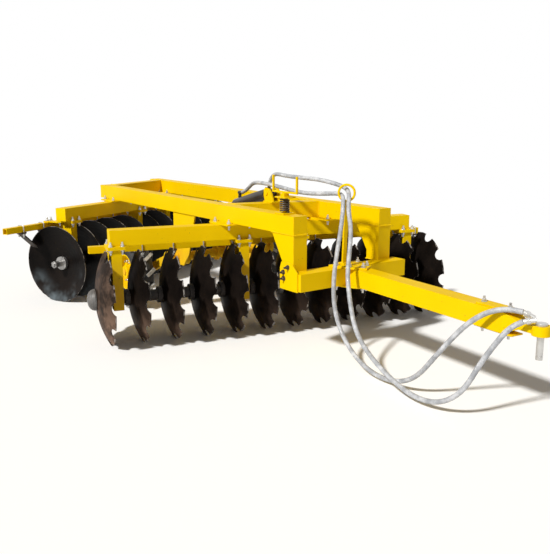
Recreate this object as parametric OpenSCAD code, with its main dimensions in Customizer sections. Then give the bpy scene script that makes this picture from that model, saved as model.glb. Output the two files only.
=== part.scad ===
// Trailed offset disc harrow with hydraulic transport wheels, in millimetres.
// +X is the way of travel, +Y the machine's left, +Z up, the floor is z = 0.

/* [Discs] */
// outside diameter of each disc
disc_d = 660; // [560:10:720]
// thickness of the disc plate
disc_t = 6; // [4:0.5:8]
// depth of the dish from rim to centre
dish = 85; // [60:1:110]
// distance from one disc to the next along its gang
pitch = 230; // [200:5:260]
// number of notches round a front disc
notch_n = 10; // [8:1:12]
// radius of one notch
notch_r = 46; // [30:1:50]

/* [Gangs] */
// angle of the front gang to the square across the frame
front_angle = 14.8; // [8:0.1:20]
// angle of the rear gang to the square across the frame
rear_angle = 26; // [15:0.5:30]
// rear end disc behind the front end disc
rear_back = 1443; // [1300:1:1600]
// rear end disc to the left of the front end disc
rear_left = 138; // [0:1:300]
// side of the square gang bolt
arbor = 36; // [30:1:45]
// width and height of a gang beam
gang_beam = 110; // [90:5:140]
// side of the square tube that carries the scrapers
scraper_bar = 50; // [40:1:60]

/* [Frame] */
// width of a frame beam
beam_w = 110; // [90:5:140]
// height of a frame beam
beam_h = 120; // [100:5:160]
// top of the gang beams above the floor
gang_top = 810; // [780:5:860]
// right face of the right frame beam from the front end disc
right_y = 832; // [700:1:900]
// right face of the left frame beam from the front end disc
left_y = 1584; // [1500:1:1800]
// front end of the frame beams
front_x = 1022; // [900:1:1200]
// rear end of the right frame beam
right_rear = -2060; // [-2200:5:-1900]
// rear end of the left frame beam
left_rear = -2500; // [-2700:5:-2300]

/* [Drawbar] */
// height and width of the drawbar tube
drawbar_w = 115; // [90:5:140]
// underside of the drawbar above the floor
drawbar_z = 465; // [380:5:520]
// length of the straight drawbar tube
drawbar_len = 1330; // [1100:5:1600]
// swing of the drawbar to the right
drawbar_swing = 6; // [0:0.5:12]
// diameter of the hitch pin
pin_d = 36; // [25:1:50]

/* [Wheels] */
// tyre radius out to the tips of the lugs
tyre_r = 300; // [260:5:360]
// width of a tyre
tyre_w = 170; // [140:5:220]
// crank arm from rock shaft to wheel spindle
crank = 400; // [350:5:450]
// height of the rock shaft
shaft_z = 450; // [400:5:500]
// lever that the lift cylinder pushes
lever = 350; // [300:5:400]

/* [Hidden] */
$fn = 48;
// centre of the whole machine, measured from the front end disc
ox = -92.03;
oy = 1166.16;
axle_z = disc_d/2;
ball_r = (disc_d*disc_d/4 + dish*dish)/(2*dish);
hub_r = 64;
// seats of the spools against a disc, measured from its rim plane
seat_in = dish - 3;
seat_out = dish + disc_t;
beam_z = gang_top + 12;
gang_z = gang_top - gang_beam;
plate = 12;
// places of the hangers along each gang
front_legs = [60, 980, 1430, 2350];
rear_legs = [175, 1095, 1555, 2475];
// underside of the scraper bars, and how far they lie behind the gangs
scrape_z = gang_z - 2*plate - 10 - scraper_bar;
scrape_y = 205;
// rock shaft and lift cylinder
shaft_x = -550;
shaft_r = 38;
// the tyres stand on the floor with the discs
wheel_z = tyre_r;
crank_angle = asin((shaft_z - wheel_z)/crank);
wheel_x = shaft_x - crank*cos(crank_angle);
right_wheel = 600;
lug_pairs = 14;
left_wheel = 1926;
cyl_y = 1250;
lug_x = 205;
lug_z = 1012;
lever_a = 100;
eye_x = shaft_x + lever*cos(lever_a);
eye_z = shaft_z + lever*sin(lever_a);
cyl_len = sqrt(pow(lug_x - eye_x, 2) + pow(lug_z - eye_z, 2));
cyl_a = atan2(lug_z - eye_z, lug_x - eye_x);
cross_x = 184;
spring_x = 850;
spring_y = 890;
bar_x = 980;
post_x = front_x - 120;
bar_y1 = 1773;
pull_y = 1300;
// clear gap of a running fit and of a seat
run = 0.05;
seat = 0.2;

// hose routes, one row per point
hose_d = 30;
hose_a_pts = [[-193.2, 1250, 985], [-125.3, 1248.7, 995.8], [-59.9, 1238, 1050.1], [30, 1210, 1083],
  [320, 1182, 1080], [690, 1175, 1050], [915, 1242, 1060], [1008, 1268, 1072], [1056, 1218, 1052], [1100, 1172, 900],
  [1110, 1120, 680], [1135, 1075, 500], [1165, 1065, 320], [1285, 1050, 155], [1490, 1020, 52],
  [1720, 1000, 27], [1940, 988, 100], [2110, 988, 300], [2290, 1032, 525], [2440, 1098, 612],
  [2515, 1138, 594]];
hose_b_pts = [[175.4, 1250, 1066.8], [179.8, 1249.6, 1104], [215, 1246, 1142], [290, 1232, 1160],
  [400, 1200, 1158], [585, 1182, 1154], [800, 1215, 1149], [900, 1258, 1130], [1000, 1290, 1104], [1067, 1262, 1080], [1115, 1206, 985],
  [1160, 1197, 850], [1198, 1150, 680], [1245, 1100, 540], [1400, 1020, 297], [1540, 980, 190],
  [1760, 938, 100], [2010, 910, 42], [2200, 910, 62], [2340, 922, 170], [2420, 952, 340], [2488, 1004, 478],
  [2520, 1040, 546], [2566, 1071, 566]];
coupler_len = 62;

module place() {
  translate([-ox, -oy, 0]) children();
}

// along a gang: x runs from its right end to its left, y to the rear
module front_row() {
  place() rotate([0, 0, 90 - front_angle]) children();
}

module rear_row() {
  place() translate([-rear_back, rear_left, 0]) rotate([0, 0, 90 + rear_angle]) children();
}

module box(x0, x1, y0, y1, z0, z1) {
  translate([x0, y0, z0]) cube([x1 - x0, y1 - y0, z1 - z0]);
}

// round bar along x and along y
module rod_x(x0, x1, r) {
  translate([x0, 0, 0]) rotate([0, 90, 0]) cylinder(r = r, h = x1 - x0);
}

module rod_y(y0, y1, r) {
  translate([0, y0, 0]) rotate([-90, 0, 0]) cylinder(r = r, h = y1 - y0);
}

// flat plate standing in the x-z plane
module side_plate(y, t, pts) {
  translate([0, y + t, 0]) rotate([90, 0, 0]) linear_extrude(height = t) polygon(pts);
}

module right_main_beam() {
  color("Gold") place() box(right_rear, front_x, right_y, right_y + beam_w, beam_z, beam_z + beam_h);
}

module left_main_beam() {
  color("Gold") place() box(left_rear, front_x, left_y, left_y + beam_w, beam_z, beam_z + beam_h);
}

// both cross beams lie along their gang and are cut off square at the frame beams
module rear_cross_beam() {
  color("Gold") place() intersection() {
    translate([right_rear, right_y + beam_w, 0]) rotate([0, 0, 90 + rear_angle])
      box(-200, 1200, -beam_w, 0, beam_z, beam_z + beam_h);
    box(-3000, 0, right_y + beam_w, left_y, beam_z, beam_z + beam_h);
  }
}

module front_cross_beam() {
  color("Gold") place() intersection() {
    translate([cross_x, 900, 0]) rotate([0, 0, 90 - front_angle])
      box(-200, 1200, 0, beam_w, beam_z, beam_z + beam_h);
    box(-500, 900, right_y + beam_w, left_y, beam_z, beam_z + beam_h);
  }
}

module post(y) {
  z0 = drawbar_z + drawbar_w;
  box(post_x, front_x, y, y + beam_w, z0, beam_z);
  side_plate(y, 10, [[post_x - 116, beam_z], [post_x, beam_z], [post_x, z0 + 60]]);
  side_plate(y + beam_w - 10, 10, [[post_x - 116, beam_z], [post_x, beam_z], [post_x, z0 + 60]]);
}

module right_post() {
  color("Gold") place() {
    post(right_y);
    difference() {
      side_plate(right_y - 10, 10,
        [[890, 460], [1075, 460], [1075, 585], [1010, 640], [905, 640], [890, 600]]);
      translate([920, right_y - 11, 530]) rod_y(0, 12, 14);
    }
  }
}

module left_post() {
  color("Gold") place() post(left_y);
}

module hitch_crossbar() {
  color("Gold") place() box(bar_x, bar_x + 120, right_y, bar_y1, drawbar_z, drawbar_z + drawbar_w);
}

// along the drawbar: x forward from the front face of the crossbar
module pull_line() {
  place() translate([bar_x + 120, pull_y, drawbar_z + drawbar_w/2]) rotate([0, 0, -drawbar_swing]) children();
}

eye_d = drawbar_len + 200;

module drawbar() {
  w = drawbar_w/2;
  color("Gold") difference() {
    union() {
      difference() {
        pull_line() box(-30, drawbar_len, -w, w, -w, w);
        place() box(0, bar_x + 120, 0, 3000, 0, 900);
      }
      intersection() {
        pull_line() translate([0, 0, -w]) linear_extrude(height = 2*w)
          polygon([[drawbar_len, -w], [drawbar_len, w], [drawbar_len + 85, 32], [drawbar_len + 85, -32]]);
        pull_line() rotate([90, 0, 0]) translate([0, 0, -w]) linear_extrude(height = 2*w)
          polygon([[drawbar_len, -w], [drawbar_len + 85, -20], [drawbar_len + 85, 20], [drawbar_len, w]]);
      }
      pull_line() box(drawbar_len + 85, eye_d, -32, 32, -20, 20);
      pull_line() translate([eye_d, 0, -25]) cylinder(r = 46, h = 50);
    }
    pull_line() translate([eye_d, 0, -30]) cylinder(r = pin_d/2 + run, h = 60);
  }
}

module drawbar_plates() {
  color("Gold") for (z = [drawbar_z - plate, drawbar_z + drawbar_w])
    place() translate([0, 0, z]) linear_extrude(height = plate)
      polygon([[bar_x + 5, 1160], [bar_x + 150, 1200], [bar_x + 260, 1270], [bar_x + 190, 1380],
        [bar_x + 5, 1430]]);
}

// straps bolted along the top and the underside of the drawbar's front
module drawbar_straps() {
  w = drawbar_w/2;
  color("Gold") for (z = [-w - 8, w])
    pull_line() box(drawbar_len - 200, drawbar_len + 55, -42, 42, z, z + 8);
}

module hitch_pin() {
  color("Silver") pull_line() translate([eye_d, 0, -150]) {
    difference() {
      cylinder(r = pin_d/2 - 0.5, h = 125);
      translate([0, 0, 18]) difference() {
        cylinder(r = pin_d, h = 4);
        translate([0, 0, -1]) cylinder(r = pin_d/2 - 3, h = 6);
      }
    }
    translate([0, 0, 125]) cylinder(r = pin_d/2, h = 52);
    translate([0, 0, 175 + seat]) cylinder(r = 30, h = 12);
  }
}

// slender bar and ring that hold the hoses up
module hose_stand() {
  color("Gold") place() {
    box(985, 1045, 1245, 1295, 592, 600);
    translate([1015, 1270, 598]) rotate([3, 5, 0]) translate([-8, -15, 0]) cube([16, 30, 425]);
    translate([1052, 1249, 1075]) rotate([90, 0, 40]) rotate_extrude() translate([53, 0]) circle(r = 8);
  }
}

module hose_guide() {
  color("Gold") place() {
    box(720, 985, 884, 896, 1078, 1090);
    for (x = [720, 973])
      box(x, x + 12, 884, 896, 1078, 1190);
  }
}

module level_spring() {
  turns = 6;
  seg = 16;
  r = 28;
  w = 6;
  h = 86.9;
  n = turns*seg;
  pts = [for (i = [0:n]) for (k = [0:5])
    [(r + w*cos(60*k))*cos(360*i/seg), (r + w*cos(60*k))*sin(360*i/seg), h*i/n + w*sin(60*k)]];
  color("DimGray") place() translate([spring_x, spring_y, beam_z + beam_h + 13.4])
    polyhedron(pts, concat(
      [for (i = [0:n - 1]) for (k = [0:5]) [i*6 + k, i*6 + (k + 1)%6, (i + 1)*6 + (k + 1)%6, (i + 1)*6 + k]],
      [[5, 4, 3, 2, 1, 0]], [[for (k = [0:5]) n*6 + k]]));
}

module spring_seats() {
  z = beam_z + beam_h;
  color("Gold") place() {
    box(spring_x - 50, spring_x + 50, spring_y - 45, spring_y + 45, z, z + 8);
    translate([spring_x, spring_y, z]) cylinder(r = 12, h = 125);
    box(spring_x - 50, spring_x + 60, spring_y - 45, spring_y + 45, z + 106, z + 114);
    box(spring_x - 20, spring_x + 20, spring_y - 20, spring_y + 20, z + 114, z + 136);
  }
}

module cylinder_bracket() {
  z = beam_z + beam_h;
  color("Gold") place() {
    box(176, 290, cyl_y - 55, cyl_y + 55, z, z + plate);
    for (y = [cyl_y - 45, cyl_y + 31])
      difference() {
        side_plate(y, 14, [[180, z + plate], [286, z + plate], [262, 1010], [236, 1050], [185, 1054],
          [166, 1032], [166, 990]]);
        translate([lug_x, y - 1, lug_z]) rod_y(0, 16, 15 + seat);
      }
    translate([lug_x, cyl_y, lug_z]) rod_y(-52, 52, 15);
  }
}

module front_gang_beam() {
  color("Gold") front_row() {
    box(20, 2375, -40, 70, gang_z, gang_top);
    for (u = front_legs)
      box(u - 60, u + 60, -75, 105, gang_z - plate, gang_z);
  }
}

module rear_gang_beam() {
  color("Gold") rear_row() {
    box(64, 2535, -79, 31, gang_z, gang_top);
    for (u = rear_legs)
      box(u - 60, u + 60, -105, 75, gang_z - plate, gang_z);
  }
}

// plates between the frame beams and the gang beams
module clamp_plate(x, y) {
  place() box(x - 125, x + 125, y - 65, y + beam_w + 65, gang_top, beam_z);
}

module gang_clamps() {
  color("Gold") {
    for (y = [right_y, left_y]) {
      m = y + beam_w/2;
      clamp_plate(m*tan(front_angle) - 15/cos(front_angle), y);
      clamp_plate((rear_left - m)*tan(rear_angle) + 24/cos(rear_angle) - rear_back, y);
    }
  }
}

// leg from the beam down to the gang bearing, with the arm back to the scraper bar
module hanger(side, back) {
  z1 = gang_z - plate;
  difference() {
    union() {
      box(-60, 60, back - 75, back + 105, z1 - plate, z1);
      box(-35, 35, -62, 30, axle_z - 78, z1 - plate);
      translate([0, 0, axle_z]) rod_x(-35, 35, 58);
      box(-35, 35, 30, 262, z1 - plate - 10, z1 - plate);
      box(side*29 - 6, side*29 + 6, 30, 195, 620, z1 - plate - 10);
      translate([side*29 - 6, 0, 0]) rotate([90, 0, 90]) linear_extrude(height = 12)
        polygon([[30, 620], [150, 620], [30, 480]]);
    }
    translate([0, 0, axle_z]) rod_x(-41, 41, 40 + run);
  }
}

module front_hangers() {
  color("Gold") for (u = front_legs)
    front_row() translate([u, 0, 0]) hanger(-1, 0);
}

module rear_hangers() {
  color("Gold") for (u = rear_legs)
    rear_row() translate([u, 0, 0]) hanger(1, -30);
}

module tube_bar(u0, u1, y, z, s) {
  difference() {
    box(u0, u1, y, y + s, z, z + s);
    box(u0 - 1, u1 + 1, y + 5, y + s - 5, z + 5, z + s - 5);
  }
}

module front_scraper_bar() {
  color("Gold") front_row() tube_bar(-95, 2620, scrape_y, scrape_z, scraper_bar);
}

module rear_scraper_bar() {
  color("Gold") rear_row() tube_bar(-325, 2560, scrape_y, scrape_z, scraper_bar);
}

// scraper: clamp plate under the bar and a broad shank that slants down into the hollow of its disc
module scraper(u) {
  f = sign(u);
  z = scrape_z - 10;
  box(u - 25, u + 25, scrape_y - 12, scrape_y + 62, scrape_z - plate, scrape_z);
  side_plate(scrape_y - 9, 66, [[u + 7*f, z], [u + 23*f, z], [6*f, 462], [-10*f, 462]]);
}

module front_scrapers() {
  color("DimGray") for (i = [0:11])
    front_row() translate([i*pitch, 0, 0]) scraper(55);
}

module rear_scrapers() {
  color("DimGray") for (i = [0:11])
    rear_row() translate([i*pitch, 0, 0]) scraper(-150);
}

module axle_brackets() {
  color("Gold") for (y = [right_y + 10, left_y + 10])
    place() difference() {
      union() {
        box(shaft_x - 50, shaft_x + 50, y, y + 90, shaft_z, beam_z);
        translate([shaft_x, y, shaft_z]) rod_y(0, 90, 66);
        side_plate(y, 12, [[shaft_x + 40, beam_z], [shaft_x + 300, beam_z], [shaft_x + 195, 500],
          [shaft_x + 100, 395], [shaft_x + 40, 395]]);
      }
      translate([shaft_x, y - 1, shaft_z]) rod_y(0, 92, shaft_r + run);
    }
}

// dished disc on the x axis, its rim plane at x = 0, hollow side towards +x
function bowl(r, b) = ball_r - dish - sqrt(b*b - r*r);
bowl_n = 7;

module dished(notched) {
  step = (disc_d/2 - hub_r)/bowl_n;
  difference() {
    rotate([0, 90, 0]) rotate_extrude($fn = 96) polygon(concat(
      [[0, -seat_in], [0, -seat_out], [hub_r, -seat_out]],
      [for (k = [0:bowl_n]) [hub_r + k*step, bowl(hub_r + k*step, ball_r + disc_t)]],
      [for (k = [bowl_n:-1:0]) [hub_r + k*step, bowl(hub_r + k*step, ball_r)]]));
    box(-dish - 20, 0, -arbor/2 - seat, arbor/2 + seat, -arbor/2 - seat, arbor/2 + seat);
    if (notched)
      for (k = [0:notch_n - 1])
        rotate([k*360/notch_n + 18, 0, 0]) translate([0, 0, disc_d/2 + 1]) rod_x(-60, 20, notch_r);
  }
}

module discs(i0, f, notched) {
  for (i = [i0:i0 + 5])
    translate([i*pitch, 0, axle_z]) rotate([0, 0, f > 0 ? 0 : 180]) dished(notched);
}

// spool between two discs, its waist runs in the hanger bearing
module spool() {
  len = pitch - seat_out + seat_in;
  difference() {
    union() {
      rod_x(0.1, 28, 58);
      translate([28, 0, 0]) rotate([0, 90, 0]) cylinder(r1 = 58, r2 = 40, h = 52);
      rod_x(80, 192, 40);
      rod_x(192, len - 0.1, 58);
    }
    box(-1, len + 1, -arbor/2 - seat, arbor/2 + seat, -arbor/2 - seat, arbor/2 + seat);
  }
}

module spools(i0, f) {
  for (i = [i0:i0 + 4])
    translate([f > 0 ? i*pitch - seat_in : (i + 1)*pitch + seat_in, 0, axle_z])
      rotate([0, 0, f > 0 ? 0 : 180]) spool();
}

// square gang bolt with a domed cap on the round side, and a washer, sleeve and nut on the hollow side
module gang_bolt() {
  a = -seat_out - 25;
  b = 5*pitch - seat_in + 26;
  c = b + 58;
  box(a, b, -arbor/2, arbor/2, -arbor/2, arbor/2);
  rod_x(b, c + 36, 15);
  difference() {
    translate([-seat_out - 0.1, 0, 0]) rotate([0, -90, 0]) rotate_extrude($fn = 72)
      polygon([[0, 0], [75, 0], [75, 10], [70, 26], [58, 40], [40, 50], [20, 54.5], [0, 56]]);
    box(a - 0.3, 0, -arbor/2 - seat, arbor/2 + seat, -arbor/2 - seat, arbor/2 + seat);
  }
  difference() {
    rod_x(b - 25.9, b - 0.1, 58);
    box(b - 27, b + 1, -arbor/2 - seat, arbor/2 + seat, -arbor/2 - seat, arbor/2 + seat);
  }
  difference() {
    rod_x(b + 0.1, c - 0.1, 26);
    rod_x(b - 1, c + 1, 15 + seat);
  }
  difference() {
    translate([c, 0, 0]) rotate([0, 90, 0]) cylinder(r = 31, h = 26, $fn = 6);
    rod_x(c - 1, c + 27, 15 + seat);
  }
}

module arbors(i0, f) {
  translate([(f > 0 ? i0 : i0 + 5)*pitch, 0, axle_z]) rotate([0, 0, f > 0 ? 0 : 180]) gang_bolt();
}

module front_right_discs() {
  color("Black") front_row() discs(0, 1, true);
}

module front_right_spools() {
  color("DimGray") front_row() spools(0, 1);
}

module front_right_arbor() {
  color("Silver") front_row() arbors(0, 1);
}

module front_left_discs() {
  color("Black") front_row() discs(6, 1, true);
}

module front_left_spools() {
  color("DimGray") front_row() spools(6, 1);
}

module front_left_arbor() {
  color("Silver") front_row() arbors(6, 1);
}

module rear_right_discs() {
  color("Black") rear_row() discs(0, -1, false);
}

module rear_right_spools() {
  color("DimGray") rear_row() spools(0, -1);
}

module rear_right_arbor() {
  color("Silver") rear_row() arbors(0, -1);
}

module rear_left_discs() {
  color("Black") rear_row() discs(6, -1, false);
}

module rear_left_spools() {
  color("DimGray") rear_row() spools(6, -1);
}

module rear_left_arbor() {
  color("Silver") rear_row() arbors(6, -1);
}

// crank arm from the rock shaft back to the wheel spindle
module crank_arm(y) {
  translate([shaft_x, y, shaft_z]) {
    rod_y(0, 40, 56);
    rotate([0, -crank_angle, 0]) box(-crank - 10, -10, 1, 39, -34, 34);
  }
  translate([wheel_x, y, wheel_z]) rod_y(0, 40, 48);
}

module rock_shaft() {
  color("Gold") place() {
    translate([shaft_x, 0, shaft_z]) rod_y(765, 1761, shaft_r);
    crank_arm(745);
    crank_arm(1741);
    translate([wheel_x, 0, wheel_z]) rod_y(right_wheel - 70, 765, 25);
    translate([wheel_x, 0, wheel_z]) rod_y(1761, left_wheel + 70, 25);
  }
}

module lift_lever() {
  color("Gold") place() {
    for (y = [cyl_y - 44, cyl_y + 28])
      difference() {
        union() {
          translate([shaft_x, y, shaft_z]) rod_y(0, 16, 62);
          translate([shaft_x, y, shaft_z]) rotate([0, -lever_a, 0]) box(20, lever + 12, 1, 15, -34, 34);
          translate([eye_x, y, eye_z]) rod_y(0, 16, 40);
        }
        translate([shaft_x, y - 1, shaft_z]) rod_y(0, 18, shaft_r + seat);
      }
    for (y = [cyl_y - 54, cyl_y + 34])
      translate([eye_x, y, eye_z]) rod_y(0, 20, 22);
  }
}

// tyre with slanted lugs, the two rows set half a pitch apart
module tyre(y) {
  w = tyre_w/2;
  r = tyre_r - 22;
  color("Black") place() translate([wheel_x, y, wheel_z]) union() {
    rotate([90, 0, 0]) rotate_extrude($fn = 72)
      polygon([[150, -58], [170, -70], [215, -w], [248, -w], [r - 10, -66], [r, -40], [r, 40],
        [r - 10, 66], [248, w], [215, w], [170, 70], [150, 58]]);
    for (k = [0:lug_pairs - 1])
      for (s = [-1, 1])
        rotate([0, (k + s/4)*360/lug_pairs, 0]) translate([0, s*(w - 45), 0]) rotate([0, 0, s*35])
          box(-13, 13, -44, 44, 245, tyre_r - 3);
  }
}

module rim(y, side) {
  color("Gold") place() translate([wheel_x, y, wheel_z]) difference() {
    union() {
      difference() {
        rod_y(-58, 58, 150 - seat);
        rod_y(-59, 59, 138);
      }
      rod_y(-8, 8, 140);
      rod_y(-60, 60, 52);
    }
    rod_y(-61, 61, 25 + run);
  }
}

module right_tyre() {
  tyre(right_wheel);
}

module right_rim() {
  rim(right_wheel, -1);
}

module left_tyre() {
  tyre(left_wheel);
}

module left_rim() {
  rim(left_wheel, 1);
}

// lift cylinder: x = 0 at the lug pin, the rod leaves towards -x
module lift_line() {
  place() translate([lug_x, cyl_y, lug_z]) rotate([0, -cyl_a, 0]) children();
}

module cylinder_barrel() {
  color("DimGray") lift_line() difference() {
    union() {
      rod_y(-25, 25, 32);
      rod_x(-500, -56, 44);
      rod_x(-60, -15, 24);
      translate([-440, 0, 30]) rotate([0, cyl_a, 0]) {
        cylinder(r = 13, h = 65);
        translate([0, 0, 55]) rotate([0, 86.13, 0]) translate([0, 0, -12]) cylinder(r = 14, h = 46);
      }
      translate([-28, 0, 10]) rotate([0, cyl_a, 0]) cylinder(r = 13, h = 51.5);
    }
    rod_y(-26, 26, 15 + run);
    rod_x(-475, -75, 36);
    rod_x(-501, -470, 20 + run);
  }
}

module cylinder_rod() {
  color("Silver") lift_line() {
    rod_x(-cyl_len + 20, -190, 20);
    translate([-cyl_len, 0, 0]) rod_y(-22, 22, 32);
  }
}

// round hose through a row of points
function along(p, i, t) = let (a = p[max(i - 1, 0)], b = p[i], c = p[i + 1], d = p[min(i + 2, len(p) - 1)])
  0.5*(2*b + (c - a)*t + (2*a - 5*b + 4*c - d)*t*t + (3*b - a - 3*c + d)*t*t*t);
function path(p, m) = concat([for (i = [0:len(p) - 2]) for (j = [0:m - 1]) along(p, i, j/m)],
  [p[len(p) - 1]]);
function unit(v) = v/norm(v);

module hose(p, d) {
  q = path(p, 2);
  n = len(q);
  pts = [for (i = [0:n - 1])
    let (t = unit(q[min(i + 1, n - 1)] - q[max(i - 1, 0)]), a = unit(cross([0, 1, 0], t)), b = cross(t, a))
    for (k = [0:9]) q[i] + d/2*(a*cos(36*k) + b*sin(36*k))];
  polyhedron(pts, concat(
    [for (i = [0:n - 2]) for (k = [0:9])
      [i*10 + k, (i + 1)*10 + k, (i + 1)*10 + (k + 1)%10, i*10 + (k + 1)%10]],
    [[for (k = [0:9]) k]], [[for (k = [9:-1:0]) (n - 1)*10 + k]]));
}

module hose_a() {
  color("Silver") place() hose(hose_a_pts, hose_d);
}

module hose_b() {
  color("Silver") place() hose(hose_b_pts, hose_d);
}

// quick coupler on the end of a hose, in line with it
module coupler(p) {
  n = len(p) - 1;
  v = unit(p[n] - p[n - 1] - (p[n - 1] - p[n - 2])/8);
  translate(p[n] + 0.1*v) rotate([0, acos(v[2]), atan2(v[1], v[0])]) {
    cylinder(r = 13, h = coupler_len);
    translate([0, 0, 14]) cylinder(r = 18, h = 20, $fn = 6);
  }
}

module coupler_a() {
  color("Silver") place() coupler(hose_a_pts);
}

module coupler_b() {
  color("Silver") place() coupler(hose_b_pts);
}

right_main_beam();
left_main_beam();
rear_cross_beam();
front_cross_beam();
right_post();
left_post();
hitch_crossbar();
drawbar();
drawbar_plates();
drawbar_straps();
hitch_pin();
hose_stand();
hose_guide();
level_spring();
spring_seats();
cylinder_bracket();
front_gang_beam();
rear_gang_beam();
gang_clamps();
front_hangers();
rear_hangers();
front_scraper_bar();
rear_scraper_bar();
front_scrapers();
rear_scrapers();
axle_brackets();
front_right_discs();
front_right_spools();
front_right_arbor();
front_left_discs();
front_left_spools();
front_left_arbor();
rear_right_discs();
rear_right_spools();
rear_right_arbor();
rear_left_discs();
rear_left_spools();
rear_left_arbor();
rock_shaft();
lift_lever();
right_tyre();
right_rim();
left_tyre();
left_rim();
cylinder_barrel();
cylinder_rod();
hose_a();
hose_b();
coupler_a();
coupler_b();
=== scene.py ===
# %% [markdown]
# # Dressing a trailed disc harrow
# The machine is a yellow box frame over two rows of dished discs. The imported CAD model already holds
# every beam, disc and wheel in its real place. This lesson gives those solids their finishes and adds what
# is too small for the CAD model: bolts, U-bolts, weld seams and the plastic wrap of the two hoses.

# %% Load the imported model
import math

import bpy
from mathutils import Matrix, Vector


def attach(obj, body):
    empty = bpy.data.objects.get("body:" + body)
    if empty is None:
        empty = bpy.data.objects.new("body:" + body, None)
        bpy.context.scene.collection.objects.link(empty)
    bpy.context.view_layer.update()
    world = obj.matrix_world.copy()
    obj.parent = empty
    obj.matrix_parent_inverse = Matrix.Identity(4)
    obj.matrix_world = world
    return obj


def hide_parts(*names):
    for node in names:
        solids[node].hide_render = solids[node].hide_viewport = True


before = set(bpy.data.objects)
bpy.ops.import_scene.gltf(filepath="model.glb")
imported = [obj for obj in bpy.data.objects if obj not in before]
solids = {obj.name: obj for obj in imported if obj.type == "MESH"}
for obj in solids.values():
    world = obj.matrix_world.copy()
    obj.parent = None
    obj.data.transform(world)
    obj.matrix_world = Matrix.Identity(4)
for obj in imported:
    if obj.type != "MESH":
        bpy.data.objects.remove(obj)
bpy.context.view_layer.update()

# %% [markdown]
# ## Measuring from the machine
# Drawings of the harrow count millimetres from the spot where the front end disc meets the ground. Three
# small helpers turn such a place into metres in the model's own frame: one for the whole machine, and one
# for each gang, where the first number runs along the gang and the second to the rear.

# %% Places on the machine
CENTRE_X, CENTRE_Y = -92.03, 1166.16
FRONT_ANGLE, REAR_ANGLE = math.radians(14.8), math.radians(26.0)
FRONT_TURN, REAR_TURN = math.pi / 2 - FRONT_ANGLE, math.pi / 2 + REAR_ANGLE
REAR_BACK, REAR_LEFT = 1443.0, 138.0
GANG_AXLE, DISC_PITCH, DISC_COUNT = 330, 230, 12


def at(x, y, z):
    return Vector(((x - CENTRE_X) / 1000, (y - CENTRE_Y) / 1000, z / 1000))


def on_front(u, y, z):
    s, c = math.sin(FRONT_ANGLE), math.cos(FRONT_ANGLE)
    return at(u * s - y * c, u * c + y * s, z)


def on_rear(u, y, z):
    s, c = math.sin(REAR_ANGLE), math.cos(REAR_ANGLE)
    return at(-REAR_BACK - u * s - y * c, REAR_LEFT + u * c - y * s, z)


print("front end disc at", on_front(0, 0, GANG_AXLE))

# %% [markdown]
# ## The camera
# The picture was taken from the right front, a little above the frame. The lens is set so that the whole
# machine fills the width, and the camera isn't shifted, so every other view stays true.

# %% Camera
lens = bpy.data.cameras.new("photo_lens")
lens.lens, lens.sensor_width, lens.sensor_fit = 46.633, 36.0, "HORIZONTAL"
lens.clip_end = 200
camera = bpy.data.objects.new("photo_camera", lens)
camera.location = at(4573.19, -1908.88, 1512.22)
camera.rotation_euler = (math.radians(77.9517), 0, math.radians(53.8454))
bpy.context.scene.collection.objects.link(camera)
bpy.context.scene.camera = camera
print("camera stands at", camera.location)

# %% [markdown]
# ## Writing node trees as plain sentences
# Shader and geometry trees are long to write link by link. One small class wraps a socket, so that sums and
# products of sockets read like ordinary arithmetic, and one method adds any other node from its type, its
# settings and the values of its sockets. Both kinds of tree share it.


# %% A socket that can be added and multiplied
class Val:
    def __init__(self, tree, socket):
        self.tree, self.socket = tree, socket

    def sum_of(self, operation, a, b):
        return self.tree.node("ShaderNodeMath", {"operation": operation}, {0: a, 1: b})

    def __add__(self, other):
        return self.sum_of("ADD", self, other)

    def __sub__(self, other):
        return self.sum_of("SUBTRACT", self, other)

    def __rsub__(self, other):
        return self.sum_of("SUBTRACT", other, self)

    def __mul__(self, other):
        return self.sum_of("MULTIPLY", self, other)

    __radd__, __rmul__ = __add__, __mul__


class Tree:
    def __init__(self, group):
        self.group = group

    def node(self, kind, settings=None, values=None, out=0):
        made = self.group.nodes.new(kind)
        for name, value in (settings or {}).items():
            setattr(made, name, value)
        for key, value in (values or {}).items():
            if isinstance(value, Val):
                self.group.links.new(value.socket, made.inputs[key])
            else:
                made.inputs[key].default_value = value
        return Val(self, made.outputs[out])


print("node trees can be written as sums")

# %% [markdown]
# ## What all the finishes share
# A finish is a Principled shader. Its patterns read Object coordinates, so they stay on the metal wherever
# the camera goes. Three patterns come back in every finish: a soft cloud of noise, a step that turns a
# number into a mask, and the mask of sharp edges, where paint wears first. The edge mask compares the true
# normal with one that a Bevel node has rounded. Two more ask where a point lies: how far along an axis, and
# how far from it.


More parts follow.
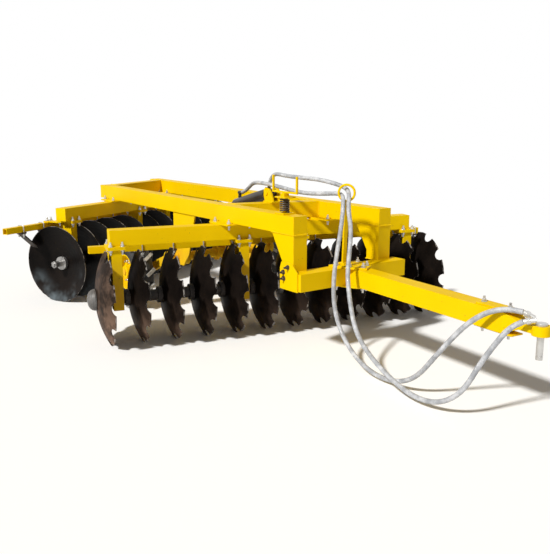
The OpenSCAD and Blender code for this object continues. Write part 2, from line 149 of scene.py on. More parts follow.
# %% The finish class
class Finish(Tree):
    def __init__(self, name, **sockets):
        self.material = bpy.data.materials.new(name)
        self.material.use_nodes = True
        super().__init__(self.material.node_tree)
        self.shader = self.group.nodes["Principled BSDF"]
        for key, value in sockets.items():
            self.shader.inputs[key.replace("_", " ")].default_value = value
        self.place = self.node("ShaderNodeTexCoord", out="Object")

    def cloud(self, scale, detail=4.0, rough=0.55):
        return self.node("ShaderNodeTexNoise", {"noise_dimensions": "3D"},
                         {"Vector": self.place, "Scale": scale, "Detail": detail, "Roughness": rough})

    def rings(self, distance, scale, detail):
        return self.node("ShaderNodeTexNoise", {"noise_dimensions": "1D"},
                         {"W": distance, "Scale": scale, "Detail": detail})

    def step(self, value, low, high):
        return self.node("ShaderNodeMapRange", {"interpolation_type": "SMOOTHSTEP"},
                         {"Value": value, "From Min": low, "From Max": high, "To Min": 0.0, "To Max": 1.0})

    def vector(self, operation, a, b, out=0):
        return self.node("ShaderNodeVectorMath", {"operation": operation}, {0: a, 1: b}, out)

    def edges(self, radius, low, high):
        true = self.node("ShaderNodeNewGeometry", out="Normal")
        rounded = self.node("ShaderNodeBevel", {"samples": 4}, {"Radius": radius})
        return self.step(1 - self.vector("DOT_PRODUCT", true, rounded, "Value"), low, high), rounded

    def tint(self, mask, below, above):
        return self.node("ShaderNodeMix", {"data_type": "RGBA"}, {0: mask, 6: below, 7: above}, 2)

    def height(self):
        return self.node("ShaderNodeSeparateXYZ", {}, {0: self.place}, "Z")

    def along(self, point, axis):
        return self.vector("DOT_PRODUCT", self.vector("SUBTRACT", self.place, point), axis, "Value")

    def away_from(self, point, axis):
        swing = self.vector("CROSS_PRODUCT", self.vector("SUBTRACT", self.place, point), axis)
        return self.node("ShaderNodeVectorMath", {"operation": "LENGTH"}, {0: swing}, "Value")

    def bump(self, height, strength, distance, normal=None):
        values = {"Height": height, "Strength": strength, "Distance": distance}
        if normal:
            values["Normal"] = normal
        return self.node("ShaderNodeBump", {}, values)

    def wear(self, **sockets):
        for key, value in sockets.items():
            self.group.links.new(value.socket, self.shader.inputs[key.replace("_", " ")])
        return self


def rgb(red, green, blue):
    return (red, green, blue, 1.0)


# %% [markdown]
# ## Yellow paint
# The frame is sprayed in machine yellow. Up close the spray has an orange-peel skin. It thins at the edges,
# where the paint turns paler, and it carries a few chips down to dark primer. Low parts turn brown up to a
# given height. This brown is field dust, and on the hangers and other low parts it is also painted shade that
# browns their shaded lower parts. The colour itself drifts only a little, as on a fresh machine.

# %% Yellow paint
DUST_AND_PAINTED_SHADE_FADE = 0.25


def yellow_paint(name, dust_and_painted_shade_top, dust_and_painted_light):
    paint = Finish(name, Coat_Weight=0.01, Specular_IOR_Level=0.035)
    drift = paint.step(paint.cloud(1.7), 0.35, 0.7)
    base = paint.tint(drift, rgb(0.80, 0.530, 0.0), rgb(0.77, 0.495, 0.0))
    edge, rounded = paint.edges(0.004, 0.02, 0.25)
    rubbed = edge * paint.step(paint.cloud(28.0), 0.42, 0.6)
    base = paint.tint(rubbed * 0.4, base, rgb(0.95, 0.66, 0.06))
    # Low parts turn brown up to the given height: field dust, and on the hangers and other low parts also
    # painted shade for their shaded lower parts.
    low = 1 - paint.step(paint.height(), dust_and_painted_shade_top - DUST_AND_PAINTED_SHADE_FADE, dust_and_painted_shade_top)
    dust = (0.35 + paint.step(paint.cloud(6.5, 6.0, 0.65), 0.35, 0.72) * 0.65) * low
    base = paint.tint(dust * dust_and_painted_light, base, rgb(0.55, 0.215, 0.05))
    specks = paint.step(paint.cloud(75.0, 2.0, 0.5), 0.735, 0.76)
    base = paint.tint(specks * 0.8, base, rgb(0.07, 0.05, 0.035))
    peel = paint.cloud(420.0, 2.0) * 0.6 + paint.cloud(60.0, 2.0) * 0.4 - specks * 0.5
    return paint.wear(Base_Color=base, Roughness=0.42 + dust * 0.3 + drift * 0.08 + specks * 0.2,
                      Normal=paint.bump(peel, 0.1, 0.002, rounded))


frame_paint = yellow_paint("frame_yellow", dust_and_painted_shade_top=0.40, dust_and_painted_light=0.3)
# Paint for the hangers and other low parts: its brown up to 0.66 m is field dust and painted shade.
low_paint_with_painted_shade = yellow_paint("leg_yellow", dust_and_painted_shade_top=0.66, dust_and_painted_light=0.5)
print("paints:", frame_paint.material.name, low_paint_with_painted_shade.material.name)

# %% [markdown]
# ## Disc steel
# A new disc leaves the works in black paint. The rim is ground bright, the bowl keeps a dull, smoky skin in
# rings, and brown dust lies low on it. The end disc and its neighbours carry extra brown as painted sunlight,
# since the sun reaches only the first discs of a gang. The rear discs carry a painted reflection: a bluish
# tint low on the bowl, near the ground, for the sky mirrored in them. The rings need the distance from the
# gang's axis, which is the length of a cross product, so each row has its own copy of the finish with its own
# axis.

# %% Disc steel
FRONT_AXIS = (math.sin(FRONT_ANGLE), math.cos(FRONT_ANGLE), 0.0)
REAR_AXIS = (-math.sin(REAR_ANGLE), math.cos(REAR_ANGLE), 0.0)


def disc_steel(name, point, axis, dust_and_painted_light, painted_reflection, gloss):
    steel = Finish(name, Specular_IOR_Level=gloss)
    out = steel.away_from(point, axis)
    rings = steel.rings(out, 90.0, 3.0)
    smoke = steel.step(steel.cloud(5.0, 5.0, 0.6), 0.35, 0.75)
    base = steel.tint(smoke, rgb(0.0015, 0.0015, 0.0016), rgb(0.008, 0.006, 0.005))
    base = steel.tint(rings * 0.25, base, rgb(0.012, 0.009, 0.008))
    low = 1 - steel.step(steel.height(), 0.05, 0.38)
    patches = steel.step(steel.cloud(7.0, 7.0, 0.68), 0.66 - dust_and_painted_light, 0.92 - dust_and_painted_light)
    # Painted sunlight: the end disc and its first neighbours get extra brown, which stands for the sun that
    # reaches only the first discs of a gang. The rest of the brown is dust lying low.
    across = steel.along(point, axis)
    first, few = 1 - steel.step(across, 0.06, 0.16), 1 - steel.step(across, 0.05, 0.75)
    dust = (patches * 0.6 + 0.4 * dust_and_painted_light) * (low * (few * 0.62 + 0.16) + first * dust_and_painted_light * 1.4 + 0.02)
    base = steel.tint(dust, base, rgb(0.27, 0.172, 0.122))
    # Painted reflection: a bluish tint on the lower outer bowl stands for the sky mirrored in the glossy rear
    # discs.
    painted_sky_reflection = steel.step(out, 0.17, 0.30) * low * steel.step(steel.cloud(4.0, 3.0), 0.42, 0.66)
    base = steel.tint(painted_sky_reflection * painted_reflection, base, rgb(0.12, 0.145, 0.160))
    edge = steel.edges(0.003, 0.05, 0.4)[0]
    ground = steel.step(out, 0.322, 0.329)
    bright = steel.step(edge * 0.8 + ground * steel.step(steel.cloud(20.0), 0.4, 0.6), 0.35, 0.9)
    base = steel.tint(bright * 0.6, base, rgb(0.40, 0.37, 0.34))
    skin = rings * 0.5 + steel.cloud(45.0, 4.0) * 0.5 + dust * 0.6
    return steel.wear(Base_Color=base, Roughness=0.30 + smoke * 0.14 + dust * 0.4, Metallic=bright * 0.5,
                      Normal=steel.bump(skin, 0.12, 0.003))


front_steel = disc_steel("front_disc_black", tuple(on_front(0, 0, GANG_AXLE)), FRONT_AXIS,
                         dust_and_painted_light=0.30, painted_reflection=0.0, gloss=0.012)
rear_steel = disc_steel("rear_disc_black", tuple(on_rear(0, 0, GANG_AXLE)), REAR_AXIS,
                        dust_and_painted_light=0.06, painted_reflection=0.9, gloss=0.05)
print("disc finishes:", front_steel.material.name, rear_steel.material.name)

# %% [markdown]
# ## Cast iron, zinc, spring steel and chrome
# Spools are rough castings, scrapers are black flat steel, the spring and cylinder are dark enamel, bolts are
# zinc plated, and the gang ends are dull steel. They share one recipe: two close colours clouded together,
# dust in clouded patches, a bump at the grain of the process, and bare metal along worn edges.


# %% Other metals
def plain_metal(name, dark, light, rough, metallic, grain, strength, dust, bare=0.5, coat=0.0):
    metal = Finish(name, Coat_Weight=coat, Metallic=metallic, Specular_IOR_Level=0.25)
    mottle = metal.step(metal.cloud(14.0, 5.0, 0.6), 0.3, 0.75)
    base = metal.tint(mottle, dark, light)
    edge, rounded = metal.edges(0.002, 0.04, 0.35)
    worn = edge * metal.step(metal.cloud(40.0), 0.35, 0.6)
    base = metal.tint(worn * bare, base, rgb(0.48, 0.46, 0.43))
    film = metal.step(metal.cloud(9.0, 7.0, 0.7), 0.5, 0.8)
    base = metal.tint(film * dust, base, rgb(0.16, 0.11, 0.07))
    skin = metal.cloud(grain, 3.0) + metal.cloud(grain * 0.2, 3.0) * 0.5
    return metal.wear(Base_Color=base, Roughness=rough + film * 0.2 + mottle * 0.08 - worn * 0.1,
                      Normal=metal.bump(skin, strength, 0.003, rounded))


spool_iron = plain_metal("spool_iron", rgb(0.018, 0.016, 0.015), rgb(0.055, 0.045, 0.040),
                         rough=0.55, metallic=0.2, grain=260, strength=0.3, dust=0.5)
zinc = plain_metal("zinc_plate", rgb(0.50, 0.49, 0.47), rgb(0.66, 0.65, 0.62),
                   rough=0.32, metallic=0.85, grain=350, strength=0.08, dust=0.15, bare=0.3)
cap_steel = plain_metal("cap_steel", rgb(0.10, 0.095, 0.09), rgb(0.19, 0.185, 0.18),
                        rough=0.42, metallic=0.5, grain=300, strength=0.1, dust=0.45, bare=0.3)
nut_steel = plain_metal("nut_steel", rgb(0.24, 0.235, 0.23), rgb(0.40, 0.39, 0.38),
                        rough=0.30, metallic=0.7, grain=320, strength=0.1, dust=0.3, bare=0.4)
spring_enamel = plain_metal("spring_enamel", rgb(0.030, 0.020, 0.014), rgb(0.075, 0.055, 0.042),
                            rough=0.4, metallic=0.1, grain=300, strength=0.1, dust=0.3)
scraper_black = plain_metal("scraper_black", rgb(0.016, 0.014, 0.013), rgb(0.075, 0.05, 0.035),
                            rough=0.48, metallic=0.2, grain=200, strength=0.15, dust=0.5)
barrel_black = plain_metal("barrel_black", rgb(0.020, 0.017, 0.015), rgb(0.055, 0.045, 0.038),
                           rough=0.36, metallic=0.0, grain=400, strength=0.06, dust=0.25, bare=0.4, coat=0.3)
rod_chrome = plain_metal("rod_chrome", rgb(0.72, 0.72, 0.73), rgb(0.80, 0.80, 0.81),
                         rough=0.08, metallic=1.0, grain=500, strength=0.02, dust=0.05, bare=0.1)
print("metals made")

# %% [markdown]
# ## Tyre rubber
# The transport tyres are black rubber. The tread stands in pale dried dust, while the flanks stay darker
# with fine mould rings, so the finish asks how far a point lies from the wheel's axle.

# %% Tyre rubber
WHEEL_X, WHEEL_Z, RIGHT_WHEEL, LEFT_WHEEL = -920.81, 300.0, 600.0, 1926.0


def tyre_rubber(name, y):
    rubber = Finish(name)
    out = rubber.away_from(tuple(at(WHEEL_X, y, WHEEL_Z)), (0.0, 1.0, 0.0))
    tread = rubber.step(out, 0.280, 0.297)
    patchy = rubber.step(rubber.cloud(22.0, 6.0, 0.65), 0.35, 0.68)
    base = rubber.tint(patchy, rgb(0.011, 0.011, 0.011), rgb(0.030, 0.028, 0.026))
    base = rubber.tint(tread * (0.45 + patchy * 0.55), base, rgb(0.50, 0.475, 0.43))
    skin = rubber.rings(out, 160.0, 2.0) + rubber.cloud(180.0) * 0.7
    return rubber.wear(Base_Color=base, Roughness=0.62 + patchy * 0.25, Normal=rubber.bump(skin, 0.25, 0.003))


right_rubber = tyre_rubber("right_tyre_rubber", RIGHT_WHEEL)
left_rubber = tyre_rubber("left_tyre_rubber", LEFT_WHEEL)
print("tyre finishes made")

# %% [markdown]
# ## Dressing the CAD solids
# Each solid keeps its shape and takes a finish by its name. Low parts of the frame take the paint that is
# browner low down, with field dust and painted shade.

# %% Finishes on the CAD solids
LOW_PARTS = ("front_hangers", "rear_hangers", "axle_brackets", "rock_shaft", "lift_lever")
FINISHES = {"front_discs": front_steel, "rear_discs": rear_steel, "front_arbor": cap_steel,
            "rear_arbor": nut_steel, "front_spools": spool_iron, "rear_spools": spool_iron,
            "front_scrapers": scraper_black, "rear_scrapers": scraper_black, "right_tyre": right_rubber,
            "left_tyre": left_rubber, "hitch_pin": zinc, "coupler_a": zinc, "coupler_b": zinc,
            "level_spring": spring_enamel, "cylinder_barrel": barrel_black, "cylinder_rod": rod_chrome}


def finish_for(name):
    words = name.split("_")
    kind = words[0] + "_" + words[-1]
    return FINISHES.get(kind, low_paint_with_painted_shade if name in LOW_PARTS else frame_paint)


for name, solid in solids.items():
    solid.data.materials.clear()
    solid.data.materials.append(finish_for(name).material)
print(len(solids), "CAD solids dressed")

# %% [markdown]
# ## The film on the hoses
# A pair of hydraulic hoses runs from the lift cylinder to the drawbar, and both are wound with clear plastic
# film. Against the hose the film looks grey. Its pale streaks are painted highlights, and its folds are
# darkened with painted shade.

# %% Hose film
film = Finish("hose_film", Coat_Weight=0.15, Specular_IOR_Level=0.35)
# The folds bump the film and also darken it as painted shade in the creases. The pale blotches are painted
# highlights.
folds_with_painted_shade = film.cloud(70.0, 5.0, 0.65)
painted_highlights = film.step(film.cloud(16.0, 4.0), 0.35, 0.7)
film_base = film.tint(painted_highlights, rgb(0.30, 0.31, 0.33), rgb(0.54, 0.55, 0.57))
film_base = film.tint(film.step(folds_with_painted_shade, 0.5, 0.7) * 0.5, film_base, rgb(0.15, 0.155, 0.165))
film.wear(Base_Color=film_base, Roughness=0.24 + folds_with_painted_shade * 0.3, Normal=film.bump(folds_with_painted_shade, 0.8, 0.006))
print("film:", film.material.name)

# %% [markdown]
# ## The two hoses
# The hoses run over the hooked guide, through the ring and down in front of the crossbar, lie on the ground
# and climb to the eye of the drawbar. Each route is a smooth curve through a few points. Many passes of a
# moving average ease its bends, as a stiff hose would, and leave its ends in place. A tube swept along the
# route carries the film: its edge makes a flat spiral ridge, which comes from the angle and the length, and
# its crumples come from a few sine waves.

# %% Hose routes and tubes
HOSE_D = 0.030
ROUTE_A = [(-193.2, 1250, 985), (-125.3, 1248.7, 995.8), (-59.9, 1238, 1050.1), (30, 1210, 1083),
           (320, 1182, 1080), (690, 1175, 1050), (915, 1242, 1060), (1008, 1268, 1072),
           (1056, 1218, 1052), (1100, 1172, 900), (1110, 1120, 680), (1135, 1075, 500),
           (1165, 1065, 320), (1285, 1050, 155), (1490, 1020, 52), (1720, 1000, 27),
           (1940, 988, 100), (2110, 988, 300), (2290, 1032, 525), (2440, 1098, 612),
           (2515, 1138, 594)]
ROUTE_B = [(175.4, 1250, 1066.8), (179.8, 1249.6, 1104), (215, 1246, 1142), (290, 1232, 1160),
           (400, 1200, 1158), (585, 1182, 1154), (800, 1215, 1149), (900, 1258, 1130),
           (1000, 1290, 1104), (1067, 1262, 1080), (1115, 1206, 985), (1160, 1197, 850),
           (1198, 1150, 680), (1245, 1100, 540), (1400, 1020, 297), (1540, 980, 190),
           (1760, 938, 100), (2010, 910, 42), (2200, 910, 62), (2340, 922, 170),
           (2420, 952, 340), (2488, 1004, 478), (2520, 1040, 546), (2566, 1071, 566)]
HOSES = (("a", ROUTE_A, 0.0, 300), ("b", ROUTE_B, 1.7, 160))
RING_STEP, RING_SIDES, WRAP_PITCH = 0.006, 16, 0.034
CORE, RIDGE, CRUMPLE = 0.955, 0.05, 0.011
SLOW_WAVE, FAST_WAVE = 61, 143


def smooth_path(route, parts=12):
    points = [at(*p) for p in route]
    last = len(points) - 1
    path = []
    for i in range(last):
        a, b, c, d = (points[max(i - 1, 0)], points[i], points[i + 1], points[min(i + 2, last)])
        for j in range(parts):
            t = j / parts
            path.append(0.5 * (2 * b + (c - a) * t + (2 * a - 5 * b + 4 * c - d) * t ** 2
                               + (3 * b - a - 3 * c + d) * t ** 3))
    return path + [points[last]]


def even_path(path, step):
    run = [0.0]
    for a, b in zip(path, path[1:]):
        run.append(run[-1] + (b - a).length)
    count = max(2, round(run[-1] / step))
    even, i = [], 0
    for k in range(count + 1):
        want = run[-1] * k / count
        while i < len(path) - 2 and run[i + 1] < want:
            i += 1
        part = (want - run[i]) / max(run[i + 1] - run[i], 1e-9)
        even.append(path[i].lerp(path[i + 1], part))
    return even, run[-1]


def eased(path, passes):
    for i in range(passes):
        inner = [(a + 2 * b + c) / 4 for a, b, c in zip(path, path[1:], path[2:])]
        path = [path[0]] + inner + [path[-1]]
    return path


def new_piece(name, verts, faces, finish):
    mesh = bpy.data.meshes.new(name)
    mesh.from_pydata([tuple(v) for v in verts], [], faces)
    mesh.materials.append(finish.material)
    mesh.update()
    piece = bpy.data.objects.new(name, mesh)
    bpy.context.scene.collection.objects.link(piece)
    return piece


def wrapped_hose(name, route, phase, passes):
    path, length = even_path(eased(even_path(smooth_path(route), RING_STEP)[0], passes), RING_STEP)
    side = Vector((0, 1, 0))
    verts, faces = [], []
    for i, middle in enumerate(path):
        ahead = (path[min(i + 1, len(path) - 1)] - path[max(i - 1, 0)]).normalized()
        side = (side - ahead * side.dot(ahead)).normalized()
        up = ahead.cross(side)
        run = length * i / (len(path) - 1)
        for k in range(RING_SIDES):
            turn = math.tau * k / RING_SIDES
            ridge = max(0.0, math.cos(turn - math.tau * run / WRAP_PITCH + phase)) ** 6
            crumple = math.sin(run * SLOW_WAVE + 3 * turn + phase) * math.sin(run * FAST_WAVE + 2 * turn)
            radius = HOSE_D / 2 * (CORE + RIDGE * ridge + CRUMPLE * crumple)
            verts.append(middle + radius * (math.cos(turn) * side + math.sin(turn) * up))
    n = RING_SIDES
    for i in range(len(path) - 1):
        for k in range(n):
            a, b = i * n + k, i * n + (k + 1) % n
            faces.append((a, b, b + n, a + n))
    faces.append(tuple(range(n - 1, -1, -1)))
    faces.append(tuple(range((len(path) - 1) * n, len(path) * n)))
    piece = new_piece(name, verts, faces, film)
    for face in piece.data.polygons:
        face.use_smooth = len(face.vertices) == 4
    return piece, path, length


for letter, route, phase, passes in HOSES:
    hose, path, length = wrapped_hose("wrapped_hose_" + letter, route, phase, passes)
    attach(hose, "frame")
    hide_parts("hose_" + letter)
    print(hose.name, "is", round(length, 3), "m long")

# %% [markdown]
# ## Growing what repeats
# Bolts, U-bolts and weld seams repeat by the dozen, so Geometry Nodes grow them. Each tree has named inputs
# for its sizes, with one set of values for the whole machine. The helper below hands a tree its points or
# lines, sets the finish by its input's identifier, turns the result into a plain mesh and lets it ride on a
# body of the harrow.


# %% Helpers for geometry trees
class Grower(Tree):
    def __init__(self, name, **sizes):
        super().__init__(bpy.data.node_groups.new(name, "GeometryNodeTree"))
        sockets = self.group.interface
        sockets.new_socket("Geometry", in_out="INPUT", socket_type="NodeSocketGeometry")
        for label, value in sizes.items():
            sockets.new_socket(label, in_out="INPUT", socket_type="NodeSocketFloat").default_value = value
        sockets.new_socket("Finish", in_out="INPUT", socket_type="NodeSocketMaterial")
        sockets.new_socket("Geometry", in_out="OUTPUT", socket_type="NodeSocketGeometry")
        self.start = self.group.nodes.new("NodeGroupInput")

    def input(self, label):
        return Val(self, self.start.outputs[label])

    def end(self, geometry):
        real = self.node("GeometryNodeRealizeInstances", {}, {0: geometry})
        dressed = self.node("GeometryNodeSetMaterial", {}, {
            "Geometry": real, "Material": self.input("Finish")})
        output = self.group.nodes.new("NodeGroupOutput")
        self.group.links.new(dressed.socket, output.inputs[0])
        return self


def grow(name, tree, mesh, finish, body):
    piece = bpy.data.objects.new(name, mesh)
    bpy.context.scene.collection.objects.link(piece)
    modifier = piece.modifiers.new("grow", "NODES")
    modifier.node_group = tree.group
    for socket in tree.group.interface.items_tree:
        if socket.in_out == "INPUT" and socket.name == "Finish":
            modifier[socket.identifier] = finish.material
    grown = piece.evaluated_get(bpy.context.evaluated_depsgraph_get())
    plain = bpy.data.meshes.new_from_object(grown)
    piece.modifiers.remove(modifier)
    piece.data = plain
    plain.name = name
    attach(piece, body)
    print(name, "has", len(plain.polygons), "faces")


def points_mesh(name, seats):
    mesh = bpy.data.meshes.new(name)
    mesh.from_pydata([tuple(place) for place, turn in seats], [], [])
    turns = mesh.attributes.new("turn", "FLOAT_VECTOR", "POINT")
    turns.data.foreach_set("vector", [x for place, turn in seats for x in turn])
    return mesh


def lines_mesh(name, lines):
    verts, edges = [], []
    for line in lines:
        first = len(verts)
        verts += [tuple(p) for p in line]
        edges += [(first + i, first + i + 1) for i in range(len(line) - 1)]
    mesh = bpy.data.meshes.new(name)
    mesh.from_pydata(verts, edges, [])
    return mesh


# %% [markdown]
# ## Bolts
# A bolt shows a round washer, a six-sided nut with a chamfered crown, and the end of its thread. All of it is
# built once in the tree and set on points. Each point carries its own turn, so that one tree serves bolts
# that stand on top of a plate, hang under it, or lie against the wheel.

# %% The bolt tree
bolt = Grower("bolt", Nut_radius=0.013, Nut_height=0.013, Washer_radius=0.016, Thread_length=0.016)
radius, tall = bolt.input("Nut_radius"), bolt.input("Nut_height")
wide, thread = bolt.input("Washer_radius"), bolt.input("Thread_length")
WASHER_T, THREAD_SINK = 0.004, 0.001
NUT_BODY, NUT_CROWN = 0.78, 0.22
WASHER_SIDES, NUT_SIDES, THREAD_SIDES = 20, 6, 12


def stacked(shape, middle):
    lift = bolt.node("ShaderNodeCombineXYZ", {}, {"Z": middle})
    return bolt.node("GeometryNodeTransform", {}, {"Geometry": shape, "Translation": lift})


def drum(sides, drum_radius, depth):
    return bolt.node("GeometryNodeMeshCylinder", {"fill_type": "NGON"},
                     {"Vertices": sides, "Radius": drum_radius, "Depth": depth})


crown = bolt.node("GeometryNodeMeshCone", {"fill_type": "NGON"}, {
    "Vertices": NUT_SIDES, "Radius Top": radius * 0.8, "Radius Bottom": radius, "Depth": tall * NUT_CROWN})
bolt_parts = [stacked(drum(WASHER_SIDES, wide, WASHER_T), WASHER_T / 2),
              stacked(drum(NUT_SIDES, radius, tall * NUT_BODY), tall * (NUT_BODY / 2) + WASHER_T),
              stacked(crown, tall * NUT_BODY + WASHER_T),
              stacked(drum(THREAD_SIDES, radius * 0.55, thread),
                      tall + thread * 0.5 + (WASHER_T - THREAD_SINK))]
one_bolt = bolt.group.nodes.new("GeometryNodeJoinGeometry")
for part in bolt_parts:
    bolt.group.links.new(part.socket, one_bolt.inputs[0])
named_turn = bolt.node("GeometryNodeInputNamedAttribute", {"data_type": "FLOAT_VECTOR"}, {"Name": "turn"})
turned = bolt.node("FunctionNodeEulerToRotation", {}, {0: named_turn})
bolt.end(bolt.node("GeometryNodeInstanceOnPoints", {}, {
    "Points": bolt.input("Geometry"), "Instance": Val(bolt, one_bolt.outputs[0]), "Rotation": turned}))
print("bolt tree ready")

# %% [markdown]
# ## Where the bolts sit
# Four bolts hold each hanger to its gang beam, two pairs hold each frame beam down on a gang beam, and the
# plates and straps of the drawbar have theirs. Such a bolt goes right through, so its seats come in pairs, one
# above and one below. Two short bolts hold each scraper arm, and three dark ones the plate on the right post.

# %% Bolt seats
UP, DOWN, OUT_RIGHT = (0.0, 0.0, 0.0), (math.pi, 0.0, 0.0), (math.pi / 2, 0.0, 0.0)
FRONT_LEGS, REAR_LEGS = (60, 980, 1430, 2350), (175, 1095, 1555, 2475)
PAD_TOP, PAD_UNDER, PAD_SHIFT = 700, 676, 15
ARM_BOLT_Y = 230
RIGHT_Y, LEFT_Y, BEAM_W = 832, 1584, 110
CLAMPS = ((218.7, RIGHT_Y), (417.4, LEFT_Y), (-1783, RIGHT_Y), (-2150, LEFT_Y))
CLAMP_TOP, CLAMP_UNDER, CLAMP_OUT, CLAMP_REACH = 822, 810, 33, 92
DRAWBAR_X, DRAWBAR_Y, DRAWBAR_SWING = 1100, 1300, math.radians(6)
PLATE_PLACES = ((1022, 1200), (1022, 1390), (1125, 1222), (1160, 1345), (1195, 1280))
PLATE_TOP, PLATE_UNDER = 592, 453
STRAP_PLACES, STRAP_TOP, STRAP_UNDER = (1150, 1330), 588, 457
SIDE_PLACES, SIDE_PLATE_Y = ((930, 574), (978, 612), (935, 533)), 822
big_seats, small_seats = [], []


def turned_by(angle, seat):
    return (seat[0], seat[1], angle)


def bolt_through(place, x, y, top, under, angle=0.0):
    big_seats.append((place(x, y, top), turned_by(angle, UP)))
    big_seats.append((place(x, y, under), turned_by(angle, DOWN)))


for place, legs, middle, angle in ((on_front, FRONT_LEGS, PAD_SHIFT, FRONT_TURN),
                                   (on_rear, REAR_LEGS, -PAD_SHIFT, REAR_TURN)):
    for u in legs:
        for du in (-40, 40):
            for dy in (-74, 74):
                bolt_through(place, u + du, middle + dy, PAD_TOP, PAD_UNDER, angle)
        for du in (-22, 22):
            small_seats.append((place(u + du, ARM_BOLT_Y, PAD_UNDER), turned_by(angle, UP)))
for x, y in CLAMPS:
    for side in (y - CLAMP_OUT, y + BEAM_W + CLAMP_OUT):
        for dx in (-CLAMP_REACH, CLAMP_REACH):
            bolt_through(at, x + dx, side, CLAMP_TOP, CLAMP_UNDER)
for x, y in PLATE_PLACES:
    bolt_through(at, x, y, PLATE_TOP, PLATE_UNDER)
for run in STRAP_PLACES:
    bolt_through(at, DRAWBAR_X + run * math.cos(DRAWBAR_SWING), DRAWBAR_Y - run * math.sin(DRAWBAR_SWING),
                 STRAP_TOP, STRAP_UNDER)
side_seats = [(at(x, SIDE_PLATE_Y, z), OUT_RIGHT) for x, z in SIDE_PLACES]
grow("plate_bolts", bolt, points_mesh("plate_bolt_seats", big_seats), zinc, "frame")
grow("small_bolts", bolt, points_mesh("small_bolt_seats", small_seats), zinc, "frame")
grow("side_plate_bolts", bolt, points_mesh("side_plate_seats", side_seats), spring_enamel, "frame")

# %% [markdown]
# ## Wheel nuts
# Six nuts hold each wheel. Their seats lie on a circle round the hub and face outwards, and they ride on the
# wheel, so they turn with it.

# %% Wheel nuts
NUT_COUNT, NUT_RING, HUB_FACE = 6, 92.0, 8
for body, y, face in (("right_wheel", RIGHT_WHEEL, -1), ("left_wheel", LEFT_WHEEL, 1)):
    seats = []
    for k in range(NUT_COUNT):
        turn = math.tau * k / NUT_COUNT
        place = at(WHEEL_X + NUT_RING * math.cos(turn), y + HUB_FACE * face,
                   WHEEL_Z + NUT_RING * math.sin(turn))
        seats.append((place, (math.pi / 2 * -face, 0, 0)))
    grow(body + "_nuts", bolt, points_mesh(body + "_nut_seats", seats), zinc, body)

# %% [markdown]
# ## U-bolts of the scrapers
# Each scraper hangs on its bar by a zinc U-bolt, with two nuts under the clamp plate. The path of a bent rod
# is a few straight lines. The tree rounds the corners with Fillet Curve and sweeps a circle along them. Where
# a hanger's arm lies on the bar, the U-bolt reaches over the arm too.

# %% The bent rod tree and the U-bolts
rod = Grower("bent_rod", Rod_radius=0.005, Bend_radius=0.010)
rounded_line = rod.node("GeometryNodeFilletCurve", {"mode": "POLY"}, {
    "Curve": rod.node("GeometryNodeMeshToCurve", {}, {0: rod.input("Geometry")}),
    "Count": 4, "Radius": rod.input("Bend_radius"), "Limit Radius": True})
ring = rod.node("GeometryNodeCurvePrimitiveCircle", {}, {"Resolution": 10, "Radius": rod.input("Rod_radius")})
rod.end(rod.node("GeometryNodeCurveToMesh", {}, {
    "Curve": rounded_line, "Profile Curve": ring, "Fill Caps": True}))

BAR_Y, BAR_Z, BAR = 205.0, 616.0, 50.0
FRONT_SCRAPER, REAR_SCRAPER = 55, -150
ROD_GAP, ROD_END, SCRAPER_PLATE = 5.5, 588, 12
ARM_HALF, ARM_T = 45, 10
ubolts, ubolt_seats = [], []
for place, legs, offset, angle in ((on_front, FRONT_LEGS, FRONT_SCRAPER, FRONT_TURN),
                                   (on_rear, REAR_LEGS, REAR_SCRAPER, REAR_TURN)):
    for i in range(DISC_COUNT):
        u = i * DISC_PITCH + offset
        over_arm = any(abs(u - leg) < ARM_HALF for leg in legs)
        top = BAR_Z + BAR + ROD_GAP + (ARM_T if over_arm else 0)
        near, far = BAR_Y - ROD_GAP, BAR_Y + BAR + ROD_GAP
        bend = ((near, ROD_END), (near, top), (far, top), (far, ROD_END))
        ubolts.append([place(u, y, z) for y, z in bend])
        for y in (near, far):
            ubolt_seats.append((place(u, y, BAR_Z - SCRAPER_PLATE), turned_by(angle, DOWN)))
grow("scraper_ubolts", rod, lines_mesh("ubolt_lines", ubolts), zinc, "frame")
grow("ubolt_nuts", bolt, points_mesh("ubolt_nut_seats", ubolt_seats), zinc, "frame")

# %% [markdown]
# ## Weld seams
# The frame is welded from box tubes, and every joint carries a rippled bead under the paint. The tree walks
# along each seam in even steps and sets a bead on each step, with a small seeded change of size.

# %% The weld tree and the seams
weld = Grower("weld_bead", Bead_radius=0.006, Step=0.009)
walk = weld.node("GeometryNodeResampleCurve", {"mode": "LENGTH"}, {
    "Curve": weld.node("GeometryNodeMeshToCurve", {}, {0: weld.input("Geometry")}),
    "Length": weld.input("Step")})
blob = weld.node("GeometryNodeMeshUVSphere", {}, {
    "Segments": 8, "Rings": 5, "Radius": weld.input("Bead_radius")})
size = weld.node("FunctionNodeRandomValue", {"data_type": "FLOAT"}, {2: 0.8, 3: 1.15, "Seed": 7}, 1)
weld.end(weld.node("GeometryNodeInstanceOnPoints", {}, {"Points": walk, "Instance": blob, "Scale": size}))

BEAM_UNDER, BEAM_TOP = 822, 942
CROSS_ENDS = ((RIGHT_Y + BEAM_W, 81.3, 195.1), (LEFT_Y, 250.9, 364.7),
              (RIGHT_Y + BEAM_W, -2060, -1937.6), (LEFT_Y, -2373.1, -2250.7))
GUSSET_BACK, POST_BACK, POST_FRONT, POST_UNDER = 786, 902, 1022, 580
DRAWBAR_HALF, DRAWBAR_UNDER, DRAWBAR_TOP = 58, 465, 580
LEG_SEAM = ((-35, 30), (-35, -62), (35, -62), (35, 30))


def loop(*corners):
    return [at(*c) for c in corners + corners[:1]]


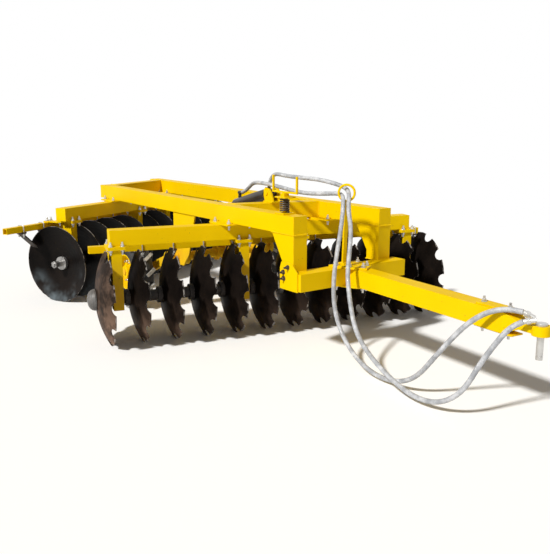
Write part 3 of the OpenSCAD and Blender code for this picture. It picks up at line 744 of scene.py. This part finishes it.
seams = []
for y, x0, x1 in CROSS_ENDS:
    seams.append(loop((x0, y, BEAM_UNDER), (x1, y, BEAM_UNDER), (x1, y, BEAM_TOP), (x0, y, BEAM_TOP)))
for y in (RIGHT_Y, LEFT_Y):
    post = ((POST_BACK, y), (POST_FRONT, y), (POST_FRONT, y + BEAM_W), (POST_BACK, y + BEAM_W))
    seams.append([at(*corner, BEAM_UNDER) for corner in post])
    seams.append(loop(*[(*corner, POST_UNDER) for corner in post]))
    for inside in (y, y + BEAM_W):
        seams.append([at(GUSSET_BACK, inside, BEAM_UNDER), at(POST_BACK, inside, BEAM_UNDER)])
near, far = DRAWBAR_Y - DRAWBAR_HALF, DRAWBAR_Y + DRAWBAR_HALF
seams.append(loop((DRAWBAR_X, near, DRAWBAR_UNDER), (DRAWBAR_X, far, DRAWBAR_UNDER),
                  (DRAWBAR_X, far, DRAWBAR_TOP), (DRAWBAR_X, near, DRAWBAR_TOP)))
for place, legs in ((on_front, FRONT_LEGS), (on_rear, REAR_LEGS)):
    for u in legs:
        seams.append([place(u + du, y, PAD_UNDER) for du, y in LEG_SEAM])
grow("weld_seams", weld, lines_mesh("weld_lines", seams), frame_paint, "frame")

# %% [markdown]
# ## Floor
# The floor is a plain pale sheet that runs out into white, so that the machine stands in an even studio. The
# white starts beyond the machine and grows with the distance from the middle.

# %% Floor
FLOOR, FADE_START, FADE_END = 60.0, 2.6, 6.5
floor_paint = Finish("studio_floor", Roughness=0.9, Base_Color=rgb(0.94, 0.94, 0.94))
reach = floor_paint.away_from((0.0, 0.0, 0.0), (0.0, 0.0, 1.0))
glow = floor_paint.node("ShaderNodeEmission", {}, {"Color": rgb(1, 1, 1), "Strength": 1.0})
fade = floor_paint.node("ShaderNodeMixShader", {}, {
    0: floor_paint.step(reach, FADE_START, FADE_END),
    1: Val(floor_paint, floor_paint.shader.outputs[0]), 2: glow})
floor_paint.group.links.new(fade.socket, floor_paint.group.nodes["Material Output"].inputs["Surface"])
corners = [(-FLOOR, -FLOOR, 0), (FLOOR, -FLOOR, 0), (FLOOR, FLOOR, 0), (-FLOOR, FLOOR, 0)]
floor = new_piece("studio_floor", corners, [(0, 1, 2, 3)], floor_paint)
print("floor laid")

# %% [markdown]
# ## Light
# One key lamp lights the right side from above, as the sun does in the picture, and draws the shadows of the
# frame on legs and gang beams. The world fills the shade with a weak warm light. Camera and mirror rays see a
# white world, while the object itself gets a plain amount of light.

# %% Lamp and world
world = bpy.data.worlds.new("studio")
bpy.context.scene.world = world
world.use_nodes = True
sky = Tree(world.node_tree)
rays = sky.node("ShaderNodeLightPath").socket.node.outputs
seen = Val(sky, rays["Is Camera Ray"])
for kind in ("Is Glossy Ray", "Is Transmission Ray"):
    seen = sky.node("ShaderNodeMath", {"operation": "MAXIMUM"}, {0: seen, 1: Val(sky, rays[kind])})
fill = sky.node("ShaderNodeBackground", {}, {"Color": rgb(1.0, 0.93, 0.85), "Strength": 0.21})
white = sky.node("ShaderNodeBackground", {}, {"Color": rgb(1, 1, 1), "Strength": 1.0})
backdrop = sky.node("ShaderNodeMixShader", {}, {0: seen, 1: fill, 2: white})
world_out = world.node_tree.nodes.get("World Output") or world.node_tree.nodes.new("ShaderNodeOutputWorld")
world.node_tree.links.new(backdrop.socket, world_out.inputs["Surface"])

KEY_TOWARDS = Vector((-0.15, 0.72, -0.67))
key = bpy.data.lights.new("key", "SUN")
key.energy, key.angle, key.color = 4.1, math.radians(5), (1.0, 0.99, 0.96)
lamp = bpy.data.objects.new("key", key)
lamp.rotation_euler = KEY_TOWARDS.to_track_quat("-Z", "Y").to_euler()
bpy.context.scene.collection.objects.link(lamp)
bpy.context.scene.view_settings.view_transform = "Standard"
print("studio lit")
